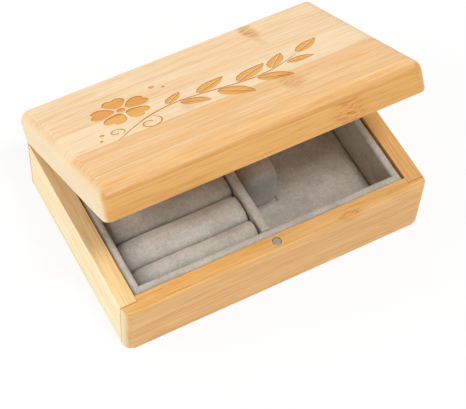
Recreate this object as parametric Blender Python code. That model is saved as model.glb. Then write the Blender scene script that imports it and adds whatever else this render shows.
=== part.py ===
"""Bamboo jewellery box: rabbeted body, routed lid on two brass hinges, velvet tray with ring rolls."""
import math

import bmesh
import bpy
from mathutils import Matrix, Vector

# Driving dimensions of the closed box, in metres
box_length = 0.180
box_depth = 0.123
body_height = 0.0375
lid_thickness = 0.018
parting_gap = 0.0004
corner_radius = 0.0048
lid_open_angle = math.radians(31)

# Stock and fits shared by several pieces
front_stock = 0.0088
side_stock = 0.0096
glue_gap = 0.0002
seat_gap = 0.0003
overrun = 0.002

# Hinge axis, let in from the rear face, halfway up the parting gap
axis_inset = 0.0033
axis_y = box_depth / 2 - axis_inset
axis_z = body_height + parting_gap / 2

corner_steps = 6
small_arc_steps = 3
arc_profile_share = 0.5
round_sides = 24
sharpest_corner = 0.0003
quarter_turn = math.pi / 2


def material(name, colour, roughness, metallic=0.0):
    made = bpy.data.materials.new(name)
    made.use_nodes = True
    shader = made.node_tree.nodes["Principled BSDF"]
    shader.inputs["Base Color"].default_value = (*colour, 1.0)
    shader.inputs["Roughness"].default_value = roughness
    shader.inputs["Metallic"].default_value = metallic
    return made


def add_piece(name, shape, finish, place=(0, 0, 0), turn_z=0.0, parent=None, smooth_angle=None):
    """Turns a bmesh into a named object, its faces pointing outwards."""
    bmesh.ops.recalc_face_normals(shape, faces=shape.faces)
    mesh = bpy.data.meshes.new(name)
    shape.to_mesh(mesh)
    shape.free()
    piece = bpy.data.objects.new(name, mesh)
    piece.location = place
    piece.rotation_euler.z = turn_z
    piece.parent = parent
    bpy.context.scene.collection.objects.link(piece)
    if finish is not None:
        mesh.materials.append(finish)
    if smooth_angle is not None:
        mesh.shade_smooth()
        mesh.set_sharp_from_angle(angle=smooth_angle)
    return piece


def add_cutter(name, shape, place=(0, 0, 0), parent=None):
    cutter = add_piece(name, shape, None, place=place, parent=parent)
    cutter.hide_render = True
    cutter.display_type = "WIRE"
    return cutter


def combine(piece, tool, operation="DIFFERENCE"):
    step = piece.modifiers.new(tool.name, "BOOLEAN")
    step.operation = operation
    step.solver = "EXACT"
    step.object = tool


def arc(centre_x, centre_y, radius, start, end, steps):
    """Points on an arc, both ends included."""
    angles = [start + (end - start) * step / steps for step in range(steps + 1)]
    return [(centre_x + radius * math.cos(a), centre_y + radius * math.sin(a)) for a in angles]


def add_loft(shape, loops):
    """Joins closed loops of equal count one to the next and caps the first and the last."""
    rings = [[shape.verts.new(point) for point in loop] for loop in loops]
    count = len(rings[0])
    for low, high in zip(rings[:-1], rings[1:]):
        for index in range(count):
            after = (index + 1) % count
            shape.faces.new((low[index], low[after], high[after], high[index]))
    shape.faces.new(rings[0])
    shape.faces.new(rings[-1])


def prism(outline, low, high):
    """An upright solid on a plan outline."""
    shape = bmesh.new()
    add_loft(shape, [[(x, y, low) for x, y in outline], [(x, y, high) for x, y in outline]])
    return shape


def block(low, high):
    (x0, y0, z0), (x1, y1, z1) = low, high
    return prism([(x0, y0), (x1, y0), (x1, y1), (x0, y1)], z0, z1)


def bar_along_x(profile, x_low, x_high):
    """A solid with a (y, z) profile, drawn out along X."""
    shape = bmesh.new()
    add_loft(shape, [[(x, y, z) for y, z in profile] for x in (x_low, x_high)])
    return shape


def turned(profile, sides=round_sides):
    """A solid of (radius, height) points turned about Z, closed by flat ends."""
    shape = bmesh.new()
    angles = [math.tau * side / sides for side in range(sides)]
    add_loft(shape, [[(r * math.cos(a), r * math.sin(a), z) for a in angles] for r, z in profile])
    return shape


def rectangle(half_x, half_y):
    """Corners in plan, anticlockwise."""
    return [(half_x, half_y), (-half_x, half_y), (-half_x, -half_y), (half_x, -half_y)]


def plan_loop(corners, radius, inset, z):
    """A loop inset from square corners that run anticlockwise, each rounded about its own centre."""
    loop = []
    for index, (x, y) in enumerate(corners):
        before_x, before_y = corners[index - 1]
        after_x, after_y = corners[(index + 1) % len(corners)]
        arrive = Vector((x - before_x, y - before_y)).normalized()
        leave = Vector((after_x - x, after_y - y)).normalized()
        inward = Vector((-arrive.y, arrive.x))
        turn = round(arrive.cross(leave))
        bend = max(radius - turn * inset, sharpest_corner)
        centre = Vector((x, y)) + (inset + turn * bend) * (inward - arrive * turn)
        start = math.atan2(-turn * inward.y, -turn * inward.x)
        loop += arc(*centre, bend, start, start + turn * quarter_turn, corner_steps)
    return [(x, y, z) for x, y in loop]


def ease(shape, wanted, radius, steps=small_arc_steps):
    """Rounds the edges whose two ends and faces the test picks out."""
    edges = [edge for edge in shape.edges if wanted(edge)]
    bmesh.ops.bevel(shape, geom=edges, offset=radius, segments=steps, profile=arc_profile_share, affect="EDGES")


def empty(name, place, turn_x=0.0):
    made = bpy.data.objects.new(name, None)
    made.location = place
    made.rotation_euler.x = turn_x
    bpy.context.scene.collection.objects.link(made)
    return made


for old in list(bpy.data.objects):
    bpy.data.objects.remove(old)

bamboo = material("bamboo", (0.80, 0.56, 0.29), 0.45)
bamboo_end = material("bamboo_end", (0.86, 0.65, 0.38), 0.5)
bamboo_lid = material("bamboo_lid", (0.84, 0.61, 0.33), 0.4)
bamboo_ply = material("bamboo_ply", (0.72, 0.50, 0.27), 0.6)
velvet = material("velvet", (0.40, 0.37, 0.34), 0.95)
velvet_card = material("velvet_card", (0.36, 0.33, 0.30), 0.95)
brass = material("brass", (0.78, 0.57, 0.25), 0.3, 1.0)
nickel = material("nickel", (0.55, 0.54, 0.52), 0.35, 1.0)

# Everything on the lid turns with this empty, whose X axis is the hinge axis
lid_pivot = empty("lid_pivot", (0, axis_y, axis_z), turn_x=-lid_open_angle)


# Body boards: the long boards lap over the ends of the short ones in a rabbet
lip_flat = 0.0002
rabbet_lip = corner_radius + lip_flat
bottom_ease = 0.0014
top_ease = 0.0008
shoulder_x = box_length / 2 - side_stock - glue_gap
same_place = 1e-6


def long_board():
    """A board with its outer face on y = 0, rounded outer corners and a rabbet in each end."""
    end_x = box_length / 2
    left_corner = arc(-end_x + corner_radius, corner_radius, corner_radius, math.pi, 1.5 * math.pi, corner_steps)
    right_corner = [(-x, y) for x, y in reversed(left_corner)]
    inside = [
        (end_x, rabbet_lip),
        (shoulder_x, rabbet_lip),
        (shoulder_x, front_stock),
        (-shoulder_x, front_stock),
        (-shoulder_x, rabbet_lip),
        (-end_x, rabbet_lip),
    ]
    shape = prism(left_corner + right_corner + inside, 0, body_height)

    def outer(edge, level):
        ends = [vertex.co for vertex in edge.verts]
        on_level = all(abs(co.z - level) < same_place for co in ends)
        middle = (ends[0] + ends[1]) / 2
        on_outline = middle.y < rabbet_lip - same_place
        inside_joint = all(abs(co.y - rabbet_lip) < same_place for co in ends)
        return on_level and on_outline and not inside_joint

    ease(shape, lambda edge: outer(edge, 0), bottom_ease)
    ease(shape, lambda edge: outer(edge, body_height), top_ease)
    return shape


def short_board():
    """An end board with its outer face on x = 0, square ends that butt into the rabbets."""
    half = box_depth / 2 - rabbet_lip - glue_gap
    shape = block((0, -half, 0), (side_stock, half, body_height))

    def outer(edge, level):
        return all(abs(v.co.z - level) < same_place and abs(v.co.x) < same_place for v in edge.verts)

    ease(shape, lambda edge: outer(edge, 0), bottom_ease)
    ease(shape, lambda edge: outer(edge, body_height), top_ease)
    return shape


soft_edge = math.radians(40)
foam_edge = math.radians(60)
front_board = add_piece("front_board", long_board(), bamboo, place=(0, -box_depth / 2, 0),
                        smooth_angle=soft_edge)
back_board = add_piece("back_board", long_board(), bamboo, place=(0, box_depth / 2, 0),
                       turn_z=math.pi, smooth_angle=soft_edge)
left_board = add_piece("left_board", short_board(), bamboo_end, place=(-box_length / 2, 0, 0),
                       smooth_angle=soft_edge)
right_board = add_piece("right_board", short_board(), bamboo_end, place=(box_length / 2, 0, 0),
                        turn_z=math.pi, smooth_angle=soft_edge)


# Bottom panel, let into a rabbet that runs round the lower inside edge
panel_thickness = 0.003
panel_seat = 0.0034

opening_x = box_length / 2 - side_stock
opening_y = box_depth / 2 - front_stock
panel_x = opening_x + panel_seat
panel_y = opening_y + panel_seat
panel_low = (-panel_x, -panel_y, 0)
panel_high = (panel_x, panel_y, panel_thickness)
bottom_panel = add_piece("bottom_panel", block(panel_low, panel_high), bamboo_ply)

rabbet_low = (-panel_x - seat_gap, -panel_y - seat_gap, -overrun)
rabbet_high = (panel_x + seat_gap, panel_y + seat_gap, panel_thickness + seat_gap)
rabbet_cutter = add_cutter("panel_rabbet_cutter", block(rabbet_low, rabbet_high))
for board in (front_board, back_board, left_board, right_board):
    combine(board, rabbet_cutter)


# Lid: one thick board, routed out underneath, with a generous round over its top edges
lid_roundover = 0.0075
lid_bottom_ease = 0.0005
recess_depth = 0.009
recess_corner = 0.006
recess_floor_ease = 0.0015
roundover_steps = 7


def lid_shape():
    """Loops from the routed ceiling down to the mouth, round the lower edge and up over the roundover."""
    recess = rectangle(opening_x, opening_y)
    outside = rectangle(box_length / 2, box_depth / 2)
    loops = []
    for step in range(small_arc_steps + 1):
        turn = quarter_turn * step / small_arc_steps
        inset = recess_floor_ease * (1 - math.sin(turn))
        z = recess_depth - recess_floor_ease * (1 - math.cos(turn))
        loops.append(plan_loop(recess, recess_corner, inset, z))
    loops.append(plan_loop(recess, recess_corner, 0, 0))
    for step in range(small_arc_steps + 1):
        turn = quarter_turn * step / small_arc_steps
        inset = lid_bottom_ease * (1 - math.sin(turn))
        z = lid_bottom_ease * (1 - math.cos(turn))
        loops.append(plan_loop(outside, corner_radius, inset, z))
    for step in range(roundover_steps + 1):
        turn = quarter_turn * step / roundover_steps
        inset = lid_roundover * (1 - math.cos(turn))
        z = lid_thickness - lid_roundover * (1 - math.sin(turn))
        loops.append(plan_loop(outside, corner_radius, inset, z))
    shape = bmesh.new()
    add_loft(shape, loops)
    return shape


# The lid's own frame has its origin under the middle of the lid, which lies there on the hinge axis
lid_place = (0, -axis_y, parting_gap / 2)
lid_board = add_piece("lid_board", lid_shape(), bamboo_lid, place=lid_place, parent=lid_pivot,
                      smooth_angle=soft_edge)


# Rear bevels, planed on both boards behind the hinge so that the lid can turn past upright
lid_open_limit = math.radians(95)
bevel_play = math.radians(1)
bevel_lead = 0.0003

bevel_slope = math.tan((lid_open_limit + bevel_play) / 2)
near_y = -bevel_lead
far_y = axis_inset + overrun
far_height = bevel_slope * (far_y - near_y)
body_bevel = [(near_y, overrun), (near_y, 0), (far_y, -far_height), (far_y, overrun)]
lid_bevel = [(near_y, 0), (near_y, -overrun), (far_y, -overrun), (far_y, far_height)]
bevel_x = box_length / 2 + overrun
body_bevel_cutter = add_cutter("body_bevel_cutter", bar_along_x(body_bevel, -bevel_x, bevel_x),
                               place=(0, axis_y, axis_z))
lid_bevel_cutter = add_cutter("lid_bevel_cutter", bar_along_x(lid_bevel, -bevel_x, bevel_x),
                              parent=lid_pivot)
combine(back_board, body_bevel_cutter)
combine(lid_board, lid_bevel_cutter)


# Magnets, one let into the front board's top edge and one facing it in the lid
magnet_radius = 0.00225
magnet_height = 0.002
magnet_sink = 0.0001
magnet_from_front = 0.0048
magnet_edge_steps = 24
magnet_rim = 0.0002


def magnet_shape():
    """A disc with its flat face at z = 0 and a small broken edge, running down to -magnet_height."""
    inner = magnet_radius - magnet_rim
    profile = [(inner, 0), (magnet_radius, -magnet_rim), (magnet_radius, -magnet_height + magnet_rim),
               (inner, -magnet_height)]
    return turned(profile, magnet_edge_steps)


def magnet_bore():
    bore = magnet_radius + seat_gap
    return turned([(bore, -magnet_height - magnet_sink - seat_gap), (bore, overrun)], magnet_edge_steps)


magnet_y = -box_depth / 2 + magnet_from_front
body_magnet = add_piece("body_magnet", magnet_shape(), nickel,
                        place=(0, magnet_y, body_height - magnet_sink), smooth_angle=soft_edge)
body_magnet_bore = add_cutter("body_magnet_bore", magnet_bore(), place=(0, magnet_y, body_height))
combine(front_board, body_magnet_bore)

lid_magnet = add_piece("lid_magnet", magnet_shape(), nickel, parent=lid_pivot,
                       place=(0, magnet_y - axis_y, parting_gap / 2 + magnet_sink), smooth_angle=soft_edge)
lid_magnet.rotation_euler.x = math.pi
lid_magnet_bore = add_cutter("lid_magnet_bore", magnet_bore(), parent=lid_pivot,
                             place=(0, magnet_y - axis_y, parting_gap / 2))
lid_magnet_bore.rotation_euler.x = math.pi
combine(lid_board, lid_magnet_bore)


# Hinges: two small brass butt hinges, their leaves flush in mortises and their knuckles on the axis
hinge_length = 0.020
hinge_from_end = 0.040
leaf_thickness = 0.0008
leaf_setback = 0.0002
knuckle_radius = 0.0015
pin_radius = 0.0005
pin_clearance = 0.0003
knuckle_gap = 0.0003
middle_knuckle_share = 0.37
screw_length = 0.005
screw_head_radius = 0.0011
screw_shank_radius = 0.00055
screw_head_height = 0.0006
screw_slot_width = 0.0003
screw_slot_depth = 0.0002
screw_from_end = 0.0035
screw_head_land = 0.00015
screw_tip_radius = 0.0002
knuckle_sides = 20
screw_sides = 16
pin_dome = 0.0002

hinge_x = box_length / 2 - hinge_from_end
middle_half = hinge_length * middle_knuckle_share / 2
screw_x = hinge_length / 2 - screw_from_end
knuckle_way = knuckle_radius + seat_gap

leaf_reach = front_stock - axis_inset - leaf_setback
screw_y = -(knuckle_way + leaf_reach) / 2
inner_face_y = opening_y - axis_y
leaf_level = -parting_gap / 2


def along_x(shape):
    """Lays a solid that was turned about Z along X."""
    bmesh.ops.rotate(shape, verts=shape.verts, cent=(0, 0, 0), matrix=Matrix.Rotation(math.pi / 2, 3, "Y"))
    return shape


def knuckle_rod(radius, x_low, x_high):
    return along_x(turned([(radius, x_low), (radius, x_high)], knuckle_sides))


def at_each(places, make_shape):
    """One mesh holding a copy of a shape at each place."""
    group = bmesh.new()
    for place in places:
        single = make_shape()
        bmesh.ops.translate(single, verts=single.verts, vec=place)
        bmesh.ops.recalc_face_normals(single, faces=single.faces)
        copy = bpy.data.meshes.new("copy")
        single.to_mesh(copy)
        single.free()
        group.from_mesh(copy)
        bpy.data.meshes.remove(copy)
    return group


def screw_shape():
    """A countersunk screw with its head's face at z = 0, pointing down."""
    tip = screw_length - screw_shank_radius
    profile = [(screw_head_radius, 0), (screw_head_radius, -screw_head_land),
               (screw_shank_radius, -screw_head_height), (screw_shank_radius, -tip),
               (screw_tip_radius, -screw_length)]
    return turned(profile, screw_sides)


def screw_hole():
    """The countersunk hole through a leaf, a seat gap wider than the screw."""
    head = screw_head_radius + seat_gap
    shank = screw_shank_radius + seat_gap
    profile = [(head, overrun), (head, -screw_head_land), (shank, -screw_head_height),
               (shank, -screw_length - seat_gap)]
    return turned(profile, screw_sides)


def screw_slot():
    half = screw_slot_width / 2
    reach = screw_head_radius + overrun
    return block((-reach, -half, -screw_slot_depth), (reach, half, overrun))


screw_places = [(side * screw_x, screw_y, leaf_level) for side in (-1, 1)]
middle_zone = middle_half + knuckle_gap / 2
end_zone = middle_half - knuckle_gap / 2
half_hinge = hinge_length / 2


def leaf_plate():
    return block((-half_hinge, -leaf_reach, leaf_level - leaf_thickness), (half_hinge, 0, leaf_level))


def clear_way(x_low, x_high):
    """The space in a leaf that the other leaf's knuckle turns in."""
    return block((x_low, -knuckle_way, -knuckle_way), (x_high, knuckle_way, knuckle_way))


def make_leaf(name, knuckles, ways, place, parent, upside_down):
    """A flat leaf with its knuckles on the axis, lying under it, or above it when upside down."""
    leaf = add_piece(name, leaf_plate(), brass, place=place, parent=parent, smooth_angle=soft_edge)
    tools = []
    for number, (low, high) in enumerate(ways):
        tools.append((add_cutter(f"{name}_way_{number}", clear_way(low, high), place, parent), "DIFFERENCE"))
    for number, (low, high) in enumerate(knuckles):
        rod = knuckle_rod(knuckle_radius, low, high)
        tools.append((add_cutter(f"{name}_knuckle_{number}", rod, place, parent), "UNION"))
    bore = knuckle_rod(pin_radius + pin_clearance, -half_hinge - overrun, half_hinge + overrun)
    tools.append((add_cutter(f"{name}_bore", bore, place, parent), "DIFFERENCE"))
    holes = at_each(screw_places, screw_hole)
    tools.append((add_cutter(f"{name}_screw_holes", holes, place, parent), "DIFFERENCE"))
    for tool, operation in tools:
        combine(leaf, tool, operation)
    if upside_down:
        for turned_over in [leaf] + [tool for tool, operation in tools]:
            turned_over.rotation_euler.y = math.pi
    return leaf


# The mortises stop at the inner face of the board, and the knuckles lie in a round groove
def mortise():
    low = (-half_hinge - seat_gap, inner_face_y - overrun, leaf_level - leaf_thickness - seat_gap)
    high = (half_hinge + seat_gap, 0, overrun)
    return block(low, high)


def knuckle_groove():
    return knuckle_rod(knuckle_way, -half_hinge - seat_gap, half_hinge + seat_gap)


def pilot_holes():
    """Holes in the wood under a leaf's two screws."""
    radius = screw_shank_radius + seat_gap
    return at_each(screw_places, lambda: turned([(radius, -screw_length - seat_gap), (radius, 0)], screw_sides))


def pin_shape():
    inner = pin_radius - pin_dome
    profile = [(inner, -half_hinge), (pin_radius, -half_hinge + pin_dome), (pin_radius, half_hinge - pin_dome),
               (inner, half_hinge)]
    return along_x(turned(profile, screw_sides))


middle_knuckle = [(-end_zone, end_zone)]
outer_knuckles = [(-half_hinge, -middle_zone), (middle_zone, half_hinge)]
middle_way = [(-middle_zone, middle_zone)]
outer_ways = [(-half_hinge - overrun, -end_zone), (end_zone, half_hinge + overrun)]

for side, sign in (("left", -1), ("right", 1)):
    body_place = (sign * hinge_x, axis_y, axis_z)
    lid_side_place = (sign * hinge_x, 0, 0)
    make_leaf(f"hinge_{side}_body_leaf", outer_knuckles, middle_way, body_place, None, False)
    make_leaf(f"hinge_{side}_lid_leaf", middle_knuckle, outer_ways, lid_side_place, lid_pivot, True)
    add_piece(f"hinge_{side}_pin", pin_shape(), brass, place=body_place, smooth_angle=soft_edge)
    for label, tool in (("mortise", mortise), ("groove", knuckle_groove), ("pilots", pilot_holes)):
        combine(back_board, add_cutter(f"{side}_body_{label}", tool(), place=body_place))
        lid_tool = add_cutter(f"{side}_lid_{label}", tool(), place=lid_side_place, parent=lid_pivot)
        lid_tool.rotation_euler.y = math.pi
        combine(lid_board, lid_tool)


def hinge_screw(name, place, parent, upside_down):
    """A countersunk screw with a driver slot in its head."""
    screw = add_piece(name, screw_shape(), brass, place=place, parent=parent, smooth_angle=soft_edge)
    slot = add_cutter(f"{name}_slot", screw_slot(), place, parent)
    combine(screw, slot)
    if upside_down:
        screw.rotation_euler.y = math.pi
        slot.rotation_euler.y = math.pi


for side, sign in (("left", -1), ("right", 1)):
    for number, (x, y, z) in enumerate(screw_places, start=1):
        body_place = (sign * hinge_x + x, axis_y + y, axis_z + z)
        hinge_screw(f"hinge_{side}_body_screw_{number}", body_place, None, False)
        hinge_screw(f"hinge_{side}_lid_screw_{number}", (sign * hinge_x + x, y, -z), lid_pivot, True)


# Tray: a velvet-covered base and a mitred rim of velvet-wrapped rails, loose in the box by a small gap
tray_end_gap = 0.0008
tray_front_gap = 0.0009
tray_base_thickness = 0.002
tray_drop = 0.0012
rail_thickness = 0.0044
rail_round = 0.0016
rail_round_steps = 4
mitre_gap = 0.0003

tray_x = opening_x - tray_end_gap
tray_y = opening_y - tray_front_gap
base_z = panel_thickness + seat_gap
rail_z = base_z + tray_base_thickness + seat_gap
rail_height = body_height - tray_drop - rail_z

add_piece("tray_base", block((-tray_x, -tray_y, base_z), (tray_x, tray_y, base_z + tray_base_thickness)),
          velvet_card)


def rail_profile(thickness, height):
    """(depth, height) points of a wrapped board with both top edges rounded."""
    near = arc(rail_round, height - rail_round, rail_round, math.pi, math.pi / 2, rail_round_steps)
    far = [(thickness - depth, z) for depth, z in reversed(near)]
    return [(thickness, 0), (0, 0)] + near + far


def rail(length, thickness, height, mitred):
    """A board along X from y = 0 inwards, its ends square or cut at 45 degrees."""
    shape = bmesh.new()
    ends = []
    for sign in (-1, 1):
        loop = []
        for depth, z in rail_profile(thickness, height):
            reach = length / 2 - (depth + mitre_gap if mitred else 0)
            loop.append((sign * reach, depth, z))
        ends.append(loop)
    add_loft(shape, ends)
    return shape


for name, length, place, turn in (
    ("tray_front_rail", 2 * tray_x, (0, -tray_y, rail_z), 0),
    ("tray_back_rail", 2 * tray_x, (0, tray_y, rail_z), math.pi),
    ("tray_left_rail", 2 * tray_y, (-tray_x, 0, rail_z), -quarter_turn),
    ("tray_right_rail", 2 * tray_y, (tray_x, 0, rail_z), quarter_turn),
):
    add_piece(name, rail(length, rail_thickness, rail_height, True), velvet, place=place, turn_z=turn,
              smooth_angle=soft_edge)


# Ring rolls lie at an even pitch from front to back, and the dividers follow their slots
full_roll_pitch = 0.0182
least_end_roll = 0.008
slot_shift = 0.001

inside_x = tray_x - rail_thickness
inside_y = tray_y - rail_thickness
full_rolls = int(2 * (inside_y - least_end_roll) / full_roll_pitch)
slots = [full_roll_pitch * (index - full_rolls / 2) + slot_shift for index in range(full_rolls + 1)]
short_slots = slots[1:-1]


# Dividers: one from front to back near mid length, one across the right side behind the short rolls
divider_thickness = 0.005
divider_drop = 0.0005
divider_shift = 0.0009

divider_height = rail_height - divider_drop
divider_left = -divider_shift - divider_thickness / 2
divider_right = -divider_shift + divider_thickness / 2
cross_front = short_slots[-1] + seat_gap
cross_back = cross_front + divider_thickness
cross_length = inside_x - divider_right - 2 * seat_gap
right_middle = (inside_x + divider_right) / 2

add_piece("tray_long_divider", rail(2 * (inside_y - seat_gap), divider_thickness, divider_height, False), velvet,
          place=(divider_left, 0, rail_z), turn_z=-quarter_turn, smooth_angle=soft_edge)
add_piece("tray_cross_divider", rail(cross_length, divider_thickness, divider_height, False), velvet,
          place=(right_middle, cross_front, rail_z), smooth_angle=soft_edge)


# Ring rolls: foam strips wrapped in velvet, side by side on the left, two short ones beside the divider
roll_gap = 0.0005
roll_drop = 0.0012
roll_crown = 0.0042
roll_end_gap = 0.0005
roll_end_round = 0.005
roll_end_draw = 0.002
roll_end_drop = 0.0036
roll_bulge = 0.0003
roll_crown_power = 2.5
roll_end_steps = 5
roll_crown_steps = 12
short_roll_length = 0.0215

roll_height = rail_height - roll_drop


def super_curve(angle):
    """A unit superellipse point, flatter on top than a circle."""
    power = 2 / roll_crown_power
    cosine = math.cos(angle)
    across = math.copysign(abs(cosine) ** power, cosine)
    return across, abs(math.sin(angle)) ** power


def roll_section(half_width, shoulder, crown):
    """(y, z) points of one cross-section: flat below, a slight bulge at the sides, crowned above."""
    points = [(-half_width + roll_bulge, 0), (half_width - roll_bulge, 0)]
    points.append((half_width, shoulder / 2))
    for step in range(roll_crown_steps + 1):
        across, up = super_curve(math.pi * step / roll_crown_steps)
        points.append(((half_width - roll_bulge) * across, shoulder + crown * up))
    points.append((-half_width, shoulder / 2))
    return points


def roll_shape(length, width):
    """Sections along the roll, drawn in and dropped towards its tucked ends."""
    half_length = length / 2
    stations = []
    for step in range(roll_end_steps + 1):
        turn = quarter_turn * step / roll_end_steps
        from_end = roll_end_round * (1 - math.cos(turn))
        fullness = math.sin(turn)
        stations.append((from_end, fullness))
    left = [(-half_length + from_end, fullness) for from_end, fullness in stations]
    right = [(half_length - from_end, fullness) for from_end, fullness in reversed(stations)]
    loops = []
    for x, fullness in left + right:
        half_width = width / 2 - roll_end_draw * (1 - fullness)
        shoulder = roll_height - roll_crown - roll_end_drop * (1 - fullness)
        loops.append([(x, y, z) for y, z in roll_section(half_width, shoulder, roll_crown)])
    shape = bmesh.new()
    add_loft(shape, loops)
    return shape


def add_rolls(name, edges, low_x, high_x):
    """One roll between each two neighbouring slots."""
    for number, (front, back) in enumerate(zip(edges[:-1], edges[1:]), start=1):
        middle = ((low_x + high_x) / 2, (front + back) / 2, rail_z)
        add_piece(f"{name}_{number}", roll_shape(high_x - low_x, back - front - roll_gap), velvet,
                  place=middle, smooth_angle=foam_edge)


short_low_x = divider_right + roll_end_gap
short_high_x = short_low_x + short_roll_length
add_rolls("ring_roll", [-inside_y] + slots + [inside_y], -inside_x + roll_end_gap, divider_left - roll_end_gap)
add_rolls("short_roll", short_slots, short_low_x, short_high_x)


# Pads on the floor of the two compartments on the right, thin foam under velvet with a soft crown
pad_thickness = 0.0016
pad_crown = 0.0005
pad_gap = 0.0004
pad_corner = 0.0015
pad_tuck = 0.0004
pad_shoulder = 0.0008
pad_slope = 0.010


def add_pad(name, corners):
    """Loops from the tucked underside over the rounded edge to a low crown."""
    steps = (
        (pad_gap + pad_tuck, 0),
        (pad_gap, pad_shoulder),
        (pad_gap + pad_tuck, pad_thickness - pad_tuck),
        (pad_gap + pad_tuck + pad_shoulder, pad_thickness),
        (pad_gap + pad_slope, pad_thickness + pad_crown),
    )
    shape = bmesh.new()
    add_loft(shape, [plan_loop(corners, pad_corner, inset, z) for inset, z in steps])
    add_piece(name, shape, velvet, place=(0, 0, rail_z), smooth_angle=soft_edge)


# The front pad goes round the short rolls
beside_rolls = short_high_x + roll_gap - pad_gap
before_rolls = short_slots[0] + pad_gap
add_pad("compartment_pad_front", [
    (inside_x, -inside_y),
    (inside_x, cross_front),
    (beside_rolls, cross_front),
    (beside_rolls, before_rolls),
    (divider_right, before_rolls),
    (divider_right, -inside_y),
])
add_pad("compartment_pad_back", [
    (inside_x, cross_back),
    (inside_x, inside_y),
    (divider_right, inside_y),
    (divider_right, cross_back),
])
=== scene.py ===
import math

import bmesh
import bpy
import numpy as np
from mathutils import Matrix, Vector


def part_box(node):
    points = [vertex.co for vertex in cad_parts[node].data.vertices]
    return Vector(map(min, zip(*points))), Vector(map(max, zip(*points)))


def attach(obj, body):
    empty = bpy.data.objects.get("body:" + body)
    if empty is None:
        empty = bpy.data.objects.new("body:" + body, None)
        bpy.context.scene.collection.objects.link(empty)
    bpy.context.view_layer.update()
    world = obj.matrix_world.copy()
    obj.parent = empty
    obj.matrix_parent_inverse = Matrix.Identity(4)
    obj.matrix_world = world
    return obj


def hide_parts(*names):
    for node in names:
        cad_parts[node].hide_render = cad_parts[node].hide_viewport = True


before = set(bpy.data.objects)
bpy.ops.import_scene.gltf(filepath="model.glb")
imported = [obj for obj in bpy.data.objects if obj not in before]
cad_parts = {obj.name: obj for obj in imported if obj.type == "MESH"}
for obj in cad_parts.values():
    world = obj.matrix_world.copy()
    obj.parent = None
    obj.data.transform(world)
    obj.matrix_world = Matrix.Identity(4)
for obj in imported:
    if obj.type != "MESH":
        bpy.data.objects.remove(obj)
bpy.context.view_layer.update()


# Front and back boards: planed strips of bamboo, glued edge to edge and grained along the box.
# Each end has a rabbet that laps over the end board, so a thin glue line shows round the corner.
# The outer corners are rounded and the edges eased, then the wood gets a thin satin oil.
def plug(tree, socket, value):
    """Links the socket to another node's result, or gives it a plain value."""
    if isinstance(value, bpy.types.NodeSocket):
        tree.links.new(value, socket)
    else:
        socket.default_value = value


def add_node(tree, kind, inputs=(), **settings):
    """A node with its settings, and with its first inputs filled in order."""
    node = tree.nodes.new(kind)
    for name, value in settings.items():
        setattr(node, name, value)
    for number, value in enumerate(inputs):
        plug(tree, node.inputs[number], value)
    return node


def calc(tree, operation, *inputs):
    """The result of one sum on numbers or links."""
    return add_node(tree, "ShaderNodeMath", inputs, operation=operation).outputs[0]


def stretch(tree, vector, sizes):
    """The vector with each part divided by a size, so a noise on it has features of about that size."""
    factors = tuple(1 / size for size in sizes)
    return add_node(tree, "ShaderNodeVectorMath", (vector, factors), operation="MULTIPLY").outputs[0]


def noise(tree, vector, sizes, detail=2.0, roughness=0.55):
    """Smooth noise from 0 to 1, about 0.5, with features of the given sizes along X, Y and Z."""
    node = add_node(tree, "ShaderNodeTexNoise", noise_dimensions="3D")
    plug(tree, node.inputs["Vector"], stretch(tree, vector, sizes))
    plug(tree, node.inputs["Scale"], 1.0)
    plug(tree, node.inputs["Detail"], detail)
    plug(tree, node.inputs["Roughness"], roughness)
    return node.outputs["Fac"]


def fade(tree, value, low, high, to_low=0.0, to_high=1.0):
    """Eases from one level to the other while the value goes from low to high."""
    inputs = (value, low, high, to_low, to_high)
    return add_node(tree, "ShaderNodeMapRange", inputs, interpolation_type="SMOOTHSTEP").outputs[0]


def mix(tree, factor, first, second, blend="MIX"):
    """Blends two colours, each a link or a tuple of red, green and blue."""
    node = add_node(tree, "ShaderNodeMix", (factor,), data_type="RGBA", blend_type=blend)
    for socket, value in ((node.inputs[6], first), (node.inputs[7], second)):
        plug(tree, socket, value if isinstance(value, bpy.types.NodeSocket) else (*value, 1.0))
    return node.outputs[2]


def object_millimetres(tree):
    """The point's place on the object, in millimetres."""
    place = add_node(tree, "ShaderNodeTexCoord").outputs["Object"]
    return stretch(tree, place, (0.001, 0.001, 0.001))


def start_material(name):
    """An empty node material with its surface shader."""
    material = bpy.data.materials.new(name)
    material.use_nodes = True
    tree = material.node_tree
    return material, tree, tree.nodes["Principled BSDF"]


def raise_surface(tree, shader, height, strength, distance):
    """Lets the height lift or sink the shaded surface by up to the distance."""
    bump = add_node(tree, "ShaderNodeBump")
    bump.inputs["Strength"].default_value = strength
    bump.inputs["Distance"].default_value = distance
    plug(tree, bump.inputs["Height"], height)
    plug(tree, shader.inputs["Normal"], bump.outputs[0])


def about_half(tree, value, amount):
    """How far the value is above or below a half, times the amount."""
    return calc(tree, "MULTIPLY", calc(tree, "SUBTRACT", value, 0.5), amount)


def facing(tree, normal, direction):
    """The cosine of the angle between the surface's normal and a direction."""
    node = add_node(tree, "ShaderNodeVectorMath", (normal, direction), operation="DOT_PRODUCT")
    return node.outputs["Value"]


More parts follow.
